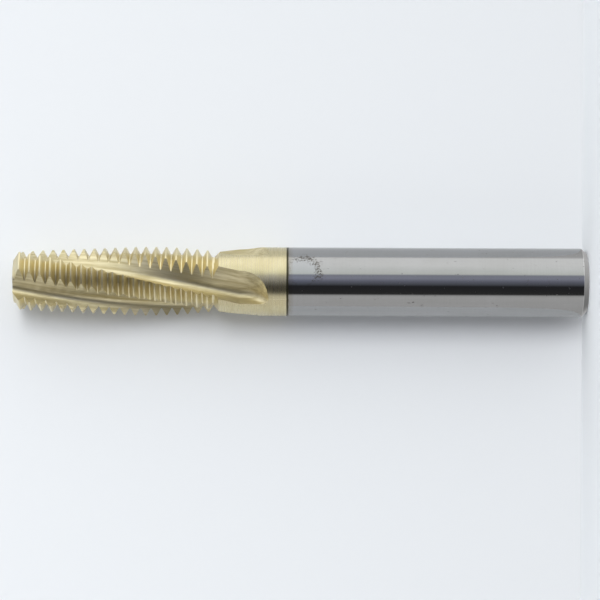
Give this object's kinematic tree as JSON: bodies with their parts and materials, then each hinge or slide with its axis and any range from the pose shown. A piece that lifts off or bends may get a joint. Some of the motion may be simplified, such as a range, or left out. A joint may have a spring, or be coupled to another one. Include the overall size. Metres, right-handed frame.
{
  "type": "thread mill",
  "caption": "Helically fluted solid-carbide thread mill with rings of relieved teeth, slightly coned neck and plain round shank.",
  "frame": {"origin": "centre of the flat end face of the shank", "axes": "+Z along the tool's axis, from the shank end to the tip; the first rake face is 228.8 degrees round from +X, at 60.6 mm up"},
  "size_m": [0.012, 0.012, 0.1],
  "materials": {
    "coated_carbide": "ground"
  },
  "bodies": {
    "root": {"thread_mill": "coated_carbide"}
  },
  "joints": []
}
